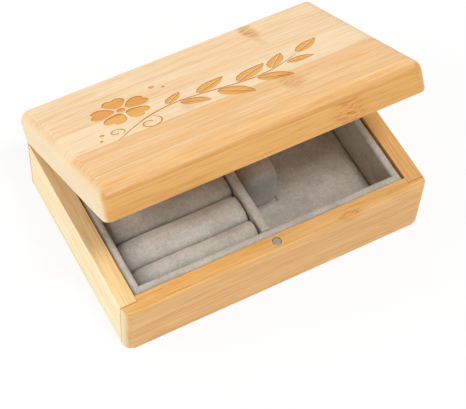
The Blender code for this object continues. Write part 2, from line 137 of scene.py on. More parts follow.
# colours, then fibre sizes along and across the grain in millimetres and how much each width tells
dark_fibre = (0.470, 0.180, 0.040)
knuckle_brown = (0.780, 0.370, 0.095)
cut_end = (0.895, 0.770, 0.520)
glue_shade = (0.780, 0.640, 0.480)
broad_fibre, middle_fibre, fine_fibre = (120.0, 10.0, 10.0), (48.0, 1.9, 1.9), (20.0, 0.42, 0.42)
broad_share, middle_share, fine_share = 0.6, 1.1, 1.7
dash_size, end_dot_size = (5.0, 0.55, 0.55), (0.6, 0.6, 0.6)
streak_share, stain_share, spot_share, cut_end_share = 0.38, 0.65, 0.95, 0.8
glue_half_width, glue_half_core = 0.26, 0.08
lot_shift = (400.0, 60.0, 60.0)
fibre_relief = 0.00005


def bamboo(name, grain, origin, turn, first_edge, strip, tones, colours, seed,
           knuckles=(), plies=None, outer=None, joint=None, burnt=False):
    """Bamboo strips side by side along Y, grained along X, in the board's own axes.

    A strip's number is the whole part of (y - first edge) / strip width. It picks the strip's tone,
    between the pale and the deep colour, and shifts its fibres. Fibres are noise drawn out along X at
    three widths. A knuckle is an ellipsoid (centre, half size, strength) inside which the wood turns
    brown and the fibres break into dashes. Plies are a top, a thickness and the colours of the plies
    below the first. An outer face has a direction and colours of its own: partly the wood's tone and
    partly painted light where the side lamp falls. A joint is the half length at which the board meets
    its neighbours, and leaves a dark line there: partly glue and partly painted shade of the gap.
    """
    pale, deep = colours
    material, tree, shader = start_material(name)
    place = add_node(tree, "ShaderNodeTexCoord")
    own = add_node(tree, "ShaderNodeMapping", (place.outputs["Object"], origin, turn),
                   vector_type="TEXTURE")
    point = stretch(tree, own.outputs[0], (0.001, 0.001, 0.001))
    parts = add_node(tree, "ShaderNodeSeparateXYZ", (point,)).outputs

    # each strip has its own tone and its own run of fibres
    layer = 0.0
    if plies:
        top, thickness, (under_pale, under_deep) = plies
        below = calc(tree, "DIVIDE", calc(tree, "SUBTRACT", top, parts[2]), thickness)
        layer = calc(tree, "FLOOR", below)
    along_strips = calc(tree, "DIVIDE", calc(tree, "SUBTRACT", parts[1], first_edge), strip)
    number = calc(tree, "FLOOR", along_strips)
    key = add_node(tree, "ShaderNodeCombineXYZ", (number, layer, seed)).outputs[0]
    lot = add_node(tree, "ShaderNodeTexWhiteNoise", noise_dimensions="3D")
    plug(tree, lot.inputs["Vector"], key)
    shift = add_node(tree, "ShaderNodeVectorMath", (lot.outputs["Color"], lot_shift),
                     operation="MULTIPLY").outputs[0]
    fibres = add_node(tree, "ShaderNodeVectorMath", (point, shift), operation="ADD").outputs[0]
    ramp = add_node(tree, "ShaderNodeValToRGB")
    steps = ramp.color_ramp
    steps.interpolation = "CONSTANT"
    for index, tone in enumerate(tones):
        step = steps.elements[0] if index == 0 else steps.elements.new(index / len(tones))
        step.position = index / len(tones)
        step.color = (tone, tone, tone, 1.0)
    steps.elements.remove(steps.elements[len(tones)])
    turn_of_tones = calc(tree, "ADD", calc(tree, "MULTIPLY", layer, 2.0), calc(tree, "ADD", number, 0.5))
    turn_of_tones = calc(tree, "DIVIDE", turn_of_tones, float(len(tones)))
    plug(tree, ramp.inputs[0], calc(tree, "FRACT", turn_of_tones))

    # fibres in three widths, deeper towards the outside of the culm
    broad = noise(tree, fibres, broad_fibre, 1.0)
    middle = noise(tree, fibres, middle_fibre, 3.0, 0.6)
    fine = noise(tree, fibres, fine_fibre, 3.0, 0.65)
    depth = calc(tree, "ADD", about_half(tree, broad, broad_share), about_half(tree, middle, middle_share))
    depth = calc(tree, "ADD", depth, about_half(tree, fine, fine_share))
    depth = fade(tree, calc(tree, "ADD", depth, ramp.outputs[0]), -0.15, 1.15)
    colour = mix(tree, depth, pale, deep)
    if plies:
        lower = fade(tree, layer, 0.0, 1.0)
        share = calc(tree, "MAXIMUM", lower, fade(tree, below, -0.1, 0.8, 0.0, 0.9))
        colour = mix(tree, share, colour, mix(tree, depth, under_pale, under_deep))
    # the outer face is paler, partly the wood's tone and partly painted light from the side lamp
    if outer:
        way_out, (outer_pale, outer_deep) = outer
        share = fade(tree, facing(tree, place.outputs["Normal"], way_out), 0.45, 0.95)
        colour = mix(tree, share, colour, mix(tree, depth, outer_pale, outer_deep))
    streaks = calc(tree, "MULTIPLY", fade(tree, fine, 0.54, 0.68), fade(tree, middle, 0.46, 0.60))
    colour = mix(tree, calc(tree, "MULTIPLY", streaks, streak_share), colour, dark_fibre)

    # knuckles: brown bands with short dark dashes
    dashes = noise(tree, fibres, dash_size, 2.0)
    for centre, half_size, strength in knuckles:
        inside = add_node(tree, "ShaderNodeMapping", (point, centre, (0.0, 0.0, 0.0), half_size),
                          vector_type="TEXTURE").outputs[0]
        away = add_node(tree, "ShaderNodeVectorMath", (inside,), operation="LENGTH").outputs["Value"]
        away = calc(tree, "ADD", away, about_half(tree, middle, 1.6))
        stain = calc(tree, "MULTIPLY", fade(tree, away, 1.1, 0.4), strength)
        spots = calc(tree, "MULTIPLY", stain, fade(tree, dashes, 0.48, 0.58))
        colour = mix(tree, calc(tree, "MULTIPLY", stain, stain_share), colour, knuckle_brown)
        colour = mix(tree, calc(tree, "MULTIPLY", spots, spot_share), colour, dark_fibre)

    # thin glue lines between strips
    from_middle = calc(tree, "ABSOLUTE", calc(tree, "SUBTRACT", calc(tree, "FRACT", along_strips), 0.5))
    line = fade(tree, from_middle, 0.5 - glue_half_width / strip, 0.5 - glue_half_core / strip)
    line = calc(tree, "MULTIPLY", line, fade(tree, middle, 0.30, 0.62, 0.15, 0.85))
    colour = mix(tree, line, colour, glue_shade, "MULTIPLY")

    # a dark line near the board's ends: partly glue and partly painted shade of the joint's gap
    if joint:
        reach = calc(tree, "ABSOLUTE", parts[0])
        colour = mix(tree, fade(tree, reach, joint - 0.7, joint - 0.25, 0.0, 0.8), colour, dark_fibre)

    # the cut ends show the fibres as dots
    on_end = calc(tree, "ABSOLUTE", facing(tree, place.outputs["Normal"], grain))
    ending = calc(tree, "MULTIPLY", fade(tree, on_end, 0.45, 0.95), cut_end_share)
    dots = noise(tree, point, end_dot_size, 2.0)
    end_colour = mix(tree, fade(tree, dots, 0.46, 0.66, 0.0, 0.3), cut_end, deep)
    colour = mix(tree, ending, colour, end_colour)

    relief = calc(tree, "ADD", calc(tree, "MULTIPLY", fine, 0.6), calc(tree, "MULTIPLY", middle, 0.5))
    gloss = fade(tree, middle, 0.3, 0.7, 0.50, 0.38)
    if burnt:
        # the engraved floors are scorched amber, and darker along their outlines
        layout = add_node(tree, "ShaderNodeUVMap", uv_map="burn")
        scorch = add_node(tree, "ShaderNodeSeparateXYZ", (layout.outputs[0],)).outputs
        colour = mix(tree, fade(tree, scorch[1], 0.0, 1.0), colour, burnt_amber, "MULTIPLY")
        uneven = fade(tree, dashes, 0.3, 0.6, 0.6, 1.0)
        rim = calc(tree, "MULTIPLY", fade(tree, scorch[0], 0.1, 1.0), uneven)
        colour = mix(tree, rim, colour, burnt_rim, "MULTIPLY")
        gloss = calc(tree, "ADD", gloss, calc(tree, "MULTIPLY", scorch[1], 0.25))
    plug(tree, shader.inputs["Base Color"], colour)
    plug(tree, shader.inputs["Roughness"], gloss)
    shader.inputs["IOR"].default_value = 1.45
    raise_surface(tree, shader, relief, 0.35, fibre_relief)
    return material


wood_sharp, cloth_sharp = 35.0, 80.0
join_distance = 1e-6


def mend(mesh, join=0.0, outwards=False):
    """Joins points closer than a distance and drops loose ones, and may turn every face outwards."""
    shape = bmesh.new()
    shape.from_mesh(mesh)
    if join:
        bmesh.ops.remove_doubles(shape, verts=shape.verts, dist=join)
        loose = [point for point in shape.verts if not point.link_faces]
        bmesh.ops.delete(shape, geom=loose, context="VERTS")
    if outwards:
        bmesh.ops.recalc_face_normals(shape, faces=shape.faces)
    shape.to_mesh(mesh)
    shape.free()


def put_in_scene(name, data):
    """A new object at the origin that shows the data."""
    thing = bpy.data.objects.new(name, data)
    bpy.context.collection.objects.link(thing)
    return thing


def finish_piece(name, mesh, finish, body, nodes, sharp=cloth_sharp):
    """Gives a mesh its material and shading, and puts it in the scene in place of the CAD nodes."""
    mesh.materials.clear()
    mesh.materials.append(finish)
    mesh.shade_smooth()
    mesh.set_sharp_from_angle(angle=math.radians(sharp))
    piece = put_in_scene(name, mesh)
    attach(piece, body)
    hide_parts(*nodes)
    return piece


def even_shading(mesh, sharp):
    """Shades each corner along the mean of the faces that meet there, weighted by their area.

    Only faces within the angle of the corner's own face count, so a flat face stays flat beside a
    rounding.
    """
    corners, faces = len(mesh.loops), len(mesh.polygons)
    point_of, sides = np.zeros(corners, int), np.zeros(faces, int)
    area, across = np.zeros(faces), np.zeros(3 * faces)
    mesh.loops.foreach_get("vertex_index", point_of)
    mesh.polygons.foreach_get("loop_total", sides)
    mesh.polygons.foreach_get("area", area)
    mesh.polygons.foreach_get("normal", across)
    across = across.reshape(-1, 3)
    order = np.argsort(point_of, kind="stable")
    face_of, point_of = np.repeat(np.arange(faces), sides)[order], point_of[order]
    count = np.bincount(point_of)[point_of]
    corner = np.repeat(np.arange(corners), count)
    step = np.arange(len(corner)) - np.repeat(np.cumsum(count) - count, count)
    own, other = face_of[corner], face_of[np.searchsorted(point_of, point_of)[corner] + step]
    near = np.sum(across[own] * across[other], 1) >= math.cos(math.radians(sharp))
    weight = area[other] * near
    mean = np.stack([np.bincount(corner, weight * across[other, axis], corners) for axis in range(3)], -1)
    normals = np.zeros((corners, 3))
    normals[order] = mean / np.maximum(np.linalg.norm(mean, axis=1, keepdims=True), 1e-15)
    mesh.normals_split_custom_set(normals.tolist())


def smooth_copy(node, name, finish, body):
    """A merged copy of a CAD node, shaded smooth but for its real edges."""
    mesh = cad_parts[node].data.copy()
    mesh.name = name
    mend(mesh, join_distance)
    piece = finish_piece(name, mesh, finish, body, (node,), wood_sharp)
    even_shading(mesh, wood_sharp)
    return piece


along_x, along_y = (1.0, 0.0, 0.0), (0.0, 1.0, 0.0)
middle_of_box, flat, on_edge = (0.0, 0.0, 0.0), (0.0, 0.0, 0.0), (math.pi / 2, 0.0, 0.0)
wall_strip = 19.0
golden = ((0.890, 0.548, 0.225), (0.640, 0.295, 0.045))
front_knuckles = (((42.5, 37.0, 60.5), (8.0, 3.6, 3.6), 0.75),
                  ((-71.0, 4.0, 61.0), (6.0, 6.0, 5.0), 0.25),
                  ((-77.0, 37.0, 56.5), (3.5, 2.5, 2.0), 0.5),
                  ((66.0, 20.0, 61.0), (8.0, 9.0, 4.0), 0.3))
back_knuckles = (((-52.0, 12.0, -61.0), (6.0, 12.0, 5.0), 0.6),)
front_wood = bamboo("bamboo_front", along_x, middle_of_box, on_edge, 0.0, wall_strip, (0.42, 0.46), golden,
                    8.0, knuckles=front_knuckles)
back_wood = bamboo("bamboo_back", along_x, middle_of_box, on_edge, 0.0, wall_strip, (0.40, 0.55), golden,
                   11.0, knuckles=back_knuckles)
smooth_copy("front_board", "front_wall", front_wood, "box")
smooth_copy("back_board", "back_wall", back_wood, "box")


# End boards: shorter boards of the same strips, a little thicker, grained from front to back.
# They fit into the rabbets of the long boards. The left one is paler on its outer face: partly its own
# tone and partly painted light from the side lamp. The dark line at each joint is partly glue and
# partly painted shade in the gap between the boards.
turned = (math.pi / 2, 0.0, math.pi / 2)
joint_reach = 1000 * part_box("left_board")[1][1]
straw = ((0.960, 0.900, 0.620), (0.835, 0.480, 0.140))
sunny = ((0.945, 0.735, 0.400), (0.810, 0.495, 0.175))
right_knuckles = (((12.0, 22.0, 88.0), (6.0, 9.0, 5.0), 0.6),)
left_wood = bamboo("bamboo_left", along_y, middle_of_box, turned, 0.0, wall_strip, (0.35, 0.42), sunny,
                   23.0, outer=((-1.0, 0.0, 0.0), straw), joint=joint_reach)
right_wood = bamboo("bamboo_right", along_y, middle_of_box, turned, 0.0, wall_strip, (0.40, 0.50), golden,
                    31.0, knuckles=right_knuckles, joint=joint_reach)
smooth_copy("left_board", "left_wall", left_wood, "box")
smooth_copy("right_board", "right_wall", right_wood, "box")


# Bottom panel: thin bamboo ply, let into a rabbet under the four walls, with its edges just broken.
# Its face ply runs along the box in narrow strips.
panel_first_edge, panel_strip, panel_top, panel_ply = 4.0, 16.0, 3.2, 1.1
panel_tones = (0.45, 0.6, 0.35, 0.7)
panel_knuckles = (((-30.0, -12.0, 0.0), (5.0, 8.0, 3.0), 0.6),)
broken_edge = 0.0002
panel_wood = bamboo("bamboo_panel", along_x, middle_of_box, flat, panel_first_edge, panel_strip,
                    panel_tones, golden, 47.0, knuckles=panel_knuckles,
                    plies=(panel_top, panel_ply, golden))
panel = smooth_copy("bottom_panel", "floor_panel", panel_wood, "box")
panel_edge = panel.modifiers.new("broken edge", "BEVEL")
panel_edge.width = broken_edge
panel_edge.segments = 2
panel_edge.limit_method = "ANGLE"
panel_edge.harden_normals = True


# Tray base: a card covered in grey-taupe velvet, lying loose on the bottom panel.
# The pile is short and dense, so it shows brushed patches and a fine fuzz.
patch_size, dab_size, fuzz_size = (14.0, 14.0, 14.0), (2.2, 2.2, 2.2), (0.42, 0.42, 0.42)
pile_relief = 0.00012


def velvet(name, colour, seed, end_shade_share=1.0):
    """Short velvet: the colour times slow patches of brushed pile, small dabs and a fine fuzz.

    Where the attribute "tuck" rises to 1, towards a roll's sunk left end, the colour falls to the given
    share: painted shade for the shadow of the left rail.
    """
    material, tree, shader = start_material(name)
    point = add_node(tree, "ShaderNodeVectorMath", (object_millimetres(tree), (seed, seed, seed)),
                     operation="ADD").outputs[0]
    patches = noise(tree, point, patch_size, 2.0)
    dabs = noise(tree, point, dab_size, 3.0)
    fuzz = noise(tree, point, fuzz_size, 3.0, 0.7)
    brushed = fade(tree, patches, 0.35, 0.65, 0.90, 1.06)
    shade = calc(tree, "ADD", brushed, fade(tree, dabs, 0.3, 0.7, -0.07, 0.07))
    shade = calc(tree, "ADD", shade, fade(tree, fuzz, 0.28, 0.72, -0.22, 0.22))
    # painted shade: the colour darkens towards the rolls' left ends, where the left rail's shadow falls
    if end_shade_share < 1:
        tuck = add_node(tree, "ShaderNodeAttribute", attribute_name="tuck").outputs["Fac"]
        shade = calc(tree, "MULTIPLY", shade, fade(tree, tuck, 0.0, 1.0, 1.0, end_shade_share))
    even = add_node(tree, "ShaderNodeCombineXYZ", (shade, shade, shade)).outputs[0]
    plug(tree, shader.inputs["Base Color"], mix(tree, 1.0, colour, even, "MULTIPLY"))
    shader.inputs["Roughness"].default_value = 0.95
    shader.inputs["Specular IOR Level"].default_value = 0.15
    shader.inputs["Sheen Weight"].default_value = 0.35
    shader.inputs["Sheen Roughness"].default_value = 0.45
    shader.inputs["Sheen Tint"].default_value = (1.0, 0.96, 0.92, 1.0)
    pile = calc(tree, "ADD", calc(tree, "MULTIPLY", fuzz, 0.7), calc(tree, "MULTIPLY", dabs, 0.5))
    raise_surface(tree, shader, pile, 0.7, pile_relief)
    return material


taupe = (0.526, 0.499, 0.448)
dark_taupe = (0.460, 0.430, 0.380)
card_velvet = velvet("velvet_card", dark_taupe, 5.0)
tray_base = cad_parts["tray_base"]
tray_base.material_slots[0].link = "OBJECT"
tray_base.material_slots[0].material = card_velvet


# Tray rails: four strips of board wrapped in velvet, mitred at the corners and standing on the base.
# The cloth rounds over their tops and makes a soft crease at each mitre.
def ripple(first, second, height, seed, waves=5, finest=0.004):
    """A smooth uneven height: a sum of sine waves in random directions, each shorter wave lower."""
    draw = np.random.default_rng(seed)
    total = np.zeros(np.broadcast(first, second).shape)
    for number in range(waves):
        length = finest * (1 + 1.6 * (waves - 1 - number))
        angle, phase = draw.uniform(0, 2 * np.pi, 2)
        along = np.cos(angle) * first + np.sin(angle) * second
        total += length * np.sin(2 * np.pi * along / length + phase)
    return height * total / (finest * waves * 2)


def even_outline(corners, count):
    """A closed outline with its points spread evenly along it."""
    closed = np.concatenate([corners, corners[:1]])
    way = np.concatenate([[0], np.cumsum(np.linalg.norm(np.diff(closed, axis=0), axis=1))])
    at = np.linspace(0, way[-1], count, endpoint=False)
    return np.stack([np.interp(at, way, closed[:, 0]), np.interp(at, way, closed[:, 1])], -1)


def rounded_section(width, height, top_round, foot_round, count):
    """An upright rectangle centred on the first axis, a quarter circle at each corner."""
    turn = np.linspace(0, np.pi / 2, 10)
    quarters = ((1, 1, top_round), (-1, 1, top_round), (-1, 0, foot_round), (1, 0, foot_round))
    corners = []
    for number, (side, up, radius) in enumerate(quarters):
        angle = turn + number * np.pi / 2
        centre = (side * (width / 2 - radius), height - radius if up else radius)
        corners.append(np.stack([centre[0] + radius * np.cos(angle),
                                 centre[1] + radius * np.sin(angle)], -1))
    return even_outline(np.concatenate(corners), count)


def skin(rings):
    """A closed mesh over rings of points: a band between each two rings and a fan over each end."""
    count, around = rings.shape[:2]
    index = np.arange(count * around).reshape(count, around)
    following = np.roll(index, -1, 1)
    bands = np.stack([index[:-1], following[:-1], following[1:], index[1:]], -1).reshape(-1, 4)
    first, last = count * around, count * around + 1
    fans = np.concatenate([np.stack([np.full(around, first), following[0], index[0]], -1),
                           np.stack([np.full(around, last), index[-1], following[-1]], -1)])
    points = np.concatenate([rings.reshape(-1, 3), rings[:1].mean(1), rings[-1:].mean(1)])
    mesh = bpy.data.meshes.new("skin")
    mesh.from_pydata(points.tolist(), [], bands.tolist() + fans.tolist())
    mend(mesh, outwards=True)
    return mesh


wrap_round, foot_round, end_round = 0.0016, 0.0004, 0.0002
mitre_seam = -0.0004
bar_step, bar_points = 0.0012, 96
wrap_unevenness = 0.00007


def wrapped_bar(length, width, height, mitre, seed):
    """Rings of a velvet-wrapped bar along X, centred in plan, standing on z = 0.

    The section is a rounded rectangle. Near each end it draws in like a quarter circle, and a mitred
    end leans so that x is half the length less the depth from the outer side at negative y.
    """
    section = rounded_section(width, height, wrap_round, foot_round, bar_points)
    from_end = end_round * (1 - np.cos(np.linspace(0, np.pi / 2, 7)))
    inner = np.linspace(end_round, length - end_round, int(length / bar_step))[1:-1]
    run = np.concatenate([from_end, inner, length - from_end[::-1]])
    edge = np.clip(np.minimum(run, length - run) / end_round, 0, 1)
    drawn = end_round * (1 - np.sqrt(1 - (1 - edge) ** 2))
    across, up = section[:, 0], section[:, 1]
    y = across * (1 - 2 * drawn / width)[:, None]
    z = height / 2 + (up - height / 2) * (1 - 2 * drawn / height)[:, None]
    share = (run / length * 2 - 1)[:, None]
    x = share * (length / 2 - mitre * (y + width / 2))
    swell = ripple(x, y + z, wrap_unevenness, seed)
    sideways = np.sign(y) * (np.abs(y) / (width / 2)) ** 4
    upwards = np.clip((z - height + width / 2) / width * 2, 0, 1)
    return np.stack([x, y + swell * sideways, z + swell * upwards], -1)


def lay_out(rings, turns, centre):
    """The rings turned by quarter turns about Z and moved so that their middle stands at the centre."""
    x, y = rings[..., 0], rings[..., 1]
    for _ in range(turns):
        x, y = -y, x
    return np.stack([x + centre[0], y + centre[1], rings[..., 2] + centre[2]], -1)


def node_place(node):
    """A node's lowest and highest corner, its size, and the middle of its underside."""
    low, high = (np.array(corner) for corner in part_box(node))
    return low, high, high - low, ((low[0] + high[0]) / 2, (low[1] + high[1]) / 2, low[2])


def wrap_node(node, name, turns, seam, mitre, seed):
    """A wrapped bar in the place of a CAD node, with its length along Y where the turns are odd."""
    size, foot = node_place(node)[2:]
    length, width = (size[0], size[1]) if turns % 2 == 0 else (size[1], size[0])
    rings = wrapped_bar(length - 2 * seam, width, size[2], mitre, seed)
    finish_piece(name, skin(lay_out(rings, turns, foot)), rail_velvet, "box", (node,))


rail_velvet = velvet("velvet_rail", taupe, 20.0)
for side, turns in (("front", 0), ("right", 1), ("back", 2), ("left", 3)):
    wrap_node(f"tray_{side}_rail", f"{side}_rail", turns, mitre_seam, 1.0, 100 + turns)


# Dividers: thicker strips wrapped like the rails, with square ends.
# One runs from front to back and one across the right side, a little lower than the rails.
wrap_node("tray_long_divider", "long_divider", 1, 0.0, 0.0, 131)
wrap_node("tray_cross_divider", "cross_divider", 0, 0.0, 0.0, 130)


# Ring rolls: strips of foam wrapped in velvet and set side by side, with a narrow slot between each two.
# The cloth is drawn over each end and glued under, which pulls in the corners and leaves small folds.
roll_taupe = (0.497, 0.472, 0.422)
# the rolls' velvet carries painted shade at their left ends, for the left rail's shadow
roll_velvet = velvet("velvet_roll", roll_taupe, 60.0, end_shade_share=0.60)
roll_crown, crown_power, roll_foot = 0.0050, 2.5, 0.0005
roll_step, roll_points = 0.0014, 72
long_tuck, short_tuck, tight_tuck = 0.0160, 0.0042, 0.0020
left_drop, right_drop, end_draw = 0.0034, 0.0030, 0.0016
fold_height, roll_unevenness, most_swell = 0.00022, 0.00016, 0.00008
cap_bulge, side_room = 0.0003, 0.0001
front_slump, end_room, roll_slack, roll_swell = 0.0015, 0.0003, 0.0004, 0.0005
slot_edge = np.array([0.0, 0.00014, 0.0])
swelling_scale, cloth_pressure, last_moment = 10.0, 4.0, 20
held_foot_share, held_end = 0.3, 0.0012


def swollen(mesh, low, high, limit):
    """Blows the cloth of a closed form up by cloth simulation, held at its foot and ends, as foam fills it.

    It runs on a copy ten times as large. Each point keeps its own way but moves no further than the
    limit, and none leaves the box.
    """
    count = len(mesh.vertices)
    before = np.zeros(3 * count)
    mesh.vertices.foreach_get("co", before)
    before = before.reshape(-1, 3)
    large = mesh.copy()
    large.transform(Matrix.Scale(swelling_scale, 4))
    bag = put_in_scene("swelling", large)
    at_foot = before[:, 2] < low[2] + held_foot_share * (high[2] - low[2])
    at_end = np.minimum(before[:, 0] - low[0], high[0] - before[:, 0]) < held_end
    held = np.flatnonzero(at_foot | at_end)
    bag.vertex_groups.new(name="held").add(held.tolist(), 1.0, "REPLACE")
    cloth = bag.modifiers.new("cloth", "CLOTH").settings
    cloth.use_pressure = True
    cloth.uniform_pressure_force = cloth_pressure
    cloth.effector_weights.gravity = 0.0
    cloth.vertex_group_mass = "held"
    for moment in range(1, last_moment + 1):
        bpy.context.scene.frame_set(moment)
    filled = bag.evaluated_get(bpy.context.evaluated_depsgraph_get()).data
    after = np.zeros(3 * count)
    filled.vertices.foreach_get("co", after)
    bpy.data.objects.remove(bag)
    bpy.context.scene.frame_set(1)
    way = after.reshape(-1, 3) / swelling_scale - before
    length = np.linalg.norm(way, axis=1, keepdims=True)
    way *= limit * np.tanh(length / limit) / np.maximum(length, 1e-9)
    mesh.vertices.foreach_set("co", np.clip(before + way, low, high).ravel())


def foam_roll(length, width, height, slump, right_tuck, seed):
    """Rings of a roll along X, centred in plan, on z = 0, with its cloth folded over each end.

    The section is a box with a superellipse crown. It narrows and sinks at each end as a quarter circle
    does, and before the left end it also sinks over a longer way, as a square of the distance. Folds
    fan out from the end, and each end closes in shrinking rings. The front side sinks by the slump.
    Also returns how far each ring lies in the long tuck at the left, from 0 to 1.
    """
    half = width / 2
    turn = np.linspace(0, np.pi, 60)
    crown = np.stack([half * np.sign(np.cos(turn)) * np.abs(np.cos(turn)) ** (2 / crown_power),
                      height - roll_crown + roll_crown * np.sin(turn) ** (2 / crown_power)], -1)
    foot = [[-half, roll_foot], [-half + roll_foot, 0.0], [half - roll_foot, 0.0], [half, roll_foot]]
    section = even_outline(np.concatenate([crown, foot]), roll_points)
    across, up = section[:, 0], section[:, 1]

    bend = 1 - np.cos(np.linspace(0, np.pi / 2, 10))
    inner = np.linspace(short_tuck, length - right_tuck, int(length / roll_step))[1:-1]
    run = np.concatenate([short_tuck * bend, inner, length - right_tuck * bend[::-1]])
    at_left, near_left = (np.clip(1 - run / tuck, 0, 1) for tuck in (long_tuck, short_tuck))
    at_right = np.clip(1 - (length - run) / right_tuck, 0, 1)
    drawn = (1 - np.sqrt(1 - np.maximum(near_left, at_right) ** 2))[:, None]
    sunk = np.where(at_left > 0, left_drop * (0.5 * at_left ** 2 + 0.5 * drawn[:, 0]),
                    right_drop * drawn[:, 0])
    y = across * (1 - 2 * end_draw * drawn / width)
    lowered = np.clip(up / (height - roll_crown), 0, 1)
    z = up - sunk[:, None] * lowered
    z = z - slump * lowered * np.clip(-across / half, 0, 1) ** 1.5
    x = np.broadcast_to((run - length / 2)[:, None], y.shape)

    angle = np.arctan2(up - height / 2, across)
    fan = np.sin(9 * angle + 2.5 * np.sin(3 * angle + seed))
    folds = fold_height * fan * drawn ** 0.7 * (1 - drawn ** 4)
    swell = ripple(x, across + up, roll_unevenness, seed, finest=0.005) * (1 - drawn) + folds
    rising = np.clip((z - 0.3 * height) / height, 0, 1)
    y = y * (1 - side_room / width) + np.cos(angle) * np.clip(swell, -1, most_swell)
    z = z + np.sin(angle) * swell * rising
    rings = np.stack([x, y, z], -1)

    shrink = np.array([0.9, 0.72, 0.5, 0.25])[:, None, None]
    caps = []
    for ring, out in ((rings[0], -1), (rings[-1], 1)):
        middle = ring.mean(0)
        cap = middle + (ring - middle) * shrink
        cap[..., 0] += out * cap_bulge * (1 - shrink[..., 0] ** 2)
        caps.append(cap)
    tuck = np.concatenate([np.ones(len(shrink)), at_left, np.zeros(len(shrink))])
    return np.concatenate([caps[0][::-1], rings, caps[1]]), tuck


roll_names = [f"ring_roll_{number}" for number in range(1, 7)] + ["short_roll_1", "short_roll_2"]
for number, node in enumerate(roll_names):
    low, high, size, foot = node_place(node)
    slump, right_tuck = (front_slump, tight_tuck) if number == 0 else (0.0, short_tuck)
    rings, tuck = foam_roll(size[0] - 2 * end_room, size[1], size[2] - roll_slack, slump, right_tuck,
                            200 + number)
    mesh = skin(lay_out(rings, 0, foot))
    # each point's depth in the long left tuck, which the velvet turns into painted shade
    marks = mesh.attributes.new("tuck", "FLOAT", "POINT")
    marks.data.foreach_set("value", np.append(np.repeat(tuck, rings.shape[1]), [1.0, 0.0]))
    swollen(mesh, low + slot_edge, high - slot_edge, roll_swell)
    name = node.replace("roll", "cushion")
    roll = finish_piece(name, mesh, roll_velvet, "box", (node,))
    fine_cloth = roll.modifiers.new("fine cloth", "SUBSURF")
    fine_cloth.levels = fine_cloth.render_levels = 1


# Compartment pads: thin foam under velvet on the floor of the two compartments at the right.
# The front one is cut in an L to go round the short rolls.
pad_round, rise_way, calm_way = 0.0014, 0.010, 0.004
pad_step, pad_steps = 0.0011, np.array([0.0, 0.00005, 0.0002, 0.0005, 0.0009, 0.0014])
pad_edge_share, pad_rise_share, pad_unevenness = 0.76, 0.24, 0.00012
pad_swell, cut_room = 0.0003, 0.0005


def floor_pad(low, high, cut, thickness, seed):
    """A closed pad over a rectangle, less the part of it behind and left of the cut point if there is one.

    Its height is a quarter circle over the distance to the nearest edge, plus a slow rise to the middle
    and a gentle unevenness. The grid lines crowd together at the edges.
    """
    lines = []
    for axis in (0, 1):
        start, end = low[axis], high[axis]
        marks = [start + pad_steps, end - pad_steps, np.linspace(start, end, int((end - start) / pad_step))]
        if cut is not None:
            marks += [cut[axis] + pad_steps, cut[axis] - pad_steps]
        line = np.unique(np.round(np.concatenate(marks), 6))
        lines.append(line[(line >= start - 1e-9) & (line <= end + 1e-9)])
    x, y = np.meshgrid(*lines, indexing="ij")
    edge = np.minimum(np.minimum(x - low[0], high[0] - x), np.minimum(y - low[1], high[1] - y))
    solid = np.ones((len(lines[0]) - 1, len(lines[1]) - 1), bool)
    if cut is not None:
        beside = np.hypot(np.maximum(x - cut[0], 0), np.maximum(cut[1] - y, 0))
        edge = np.minimum(edge, beside)
        solid = (x[:-1, :-1] >= cut[0] - 1e-7) | (y[1:, 1:] <= cut[1] + 1e-7)
    rise = np.sqrt(1 - (1 - np.clip(edge / pad_round, 0, 1)) ** 2)
    crown = np.clip(edge / rise_way, 0, 1) ** 0.7
    top = thickness * pad_edge_share * rise + thickness * pad_rise_share * crown * rise
    uneven = ripple(x, y, pad_unevenness, seed, finest=0.008)
    top = top + uneven * rise ** 2 * np.clip(edge / calm_way, 0, 1)
    count = x.size
    index = np.arange(count).reshape(x.shape)
    quads = np.stack([index[:-1, :-1], index[1:, :-1], index[1:, 1:], index[:-1, 1:]], -1)[solid]
    points = np.concatenate([np.stack([x, y, height], -1).reshape(-1, 3) for height in (top, 0 * x)])
    mesh = bpy.data.meshes.new("pad")
    mesh.from_pydata(points.tolist(), [], quads.tolist() + (quads[:, ::-1] + count).tolist())
    mend(mesh, 0.1 * join_distance, outwards=True)
    return mesh


short_high_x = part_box("short_roll_1")[1][0]
first_slot_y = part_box("short_roll_1")[0][1]
pad_velvet = velvet("velvet_pad", taupe, 90.0)
by_rolls = (short_high_x + cut_room, first_slot_y - cut_room)
for node, cut, seed in (("compartment_pad_front", by_rolls, 300), ("compartment_pad_back", None, 301)):
    low, high, size, _ = node_place(node)
    mesh = floor_pad(low, high, cut, size[2] - pad_swell, seed)
    mesh.transform(Matrix.Translation((0.0, 0.0, low[2])))
    swollen(mesh, low, high, pad_swell)
    name = node.replace("compartment", "floor")
    pad = finish_piece(name, mesh, pad_velvet, "box", (node,))


# Magnets: two small nickel-plated discs, pressed into the front rim and into the lid above it.
# Handling has left them dull, with fine turned rings.
cloud_size, scratch_size = (1.6, 1.6, 1.6), (6.0, 0.12, 0.12)
worn_roughness = 0.16
plate_relief = 0.00002


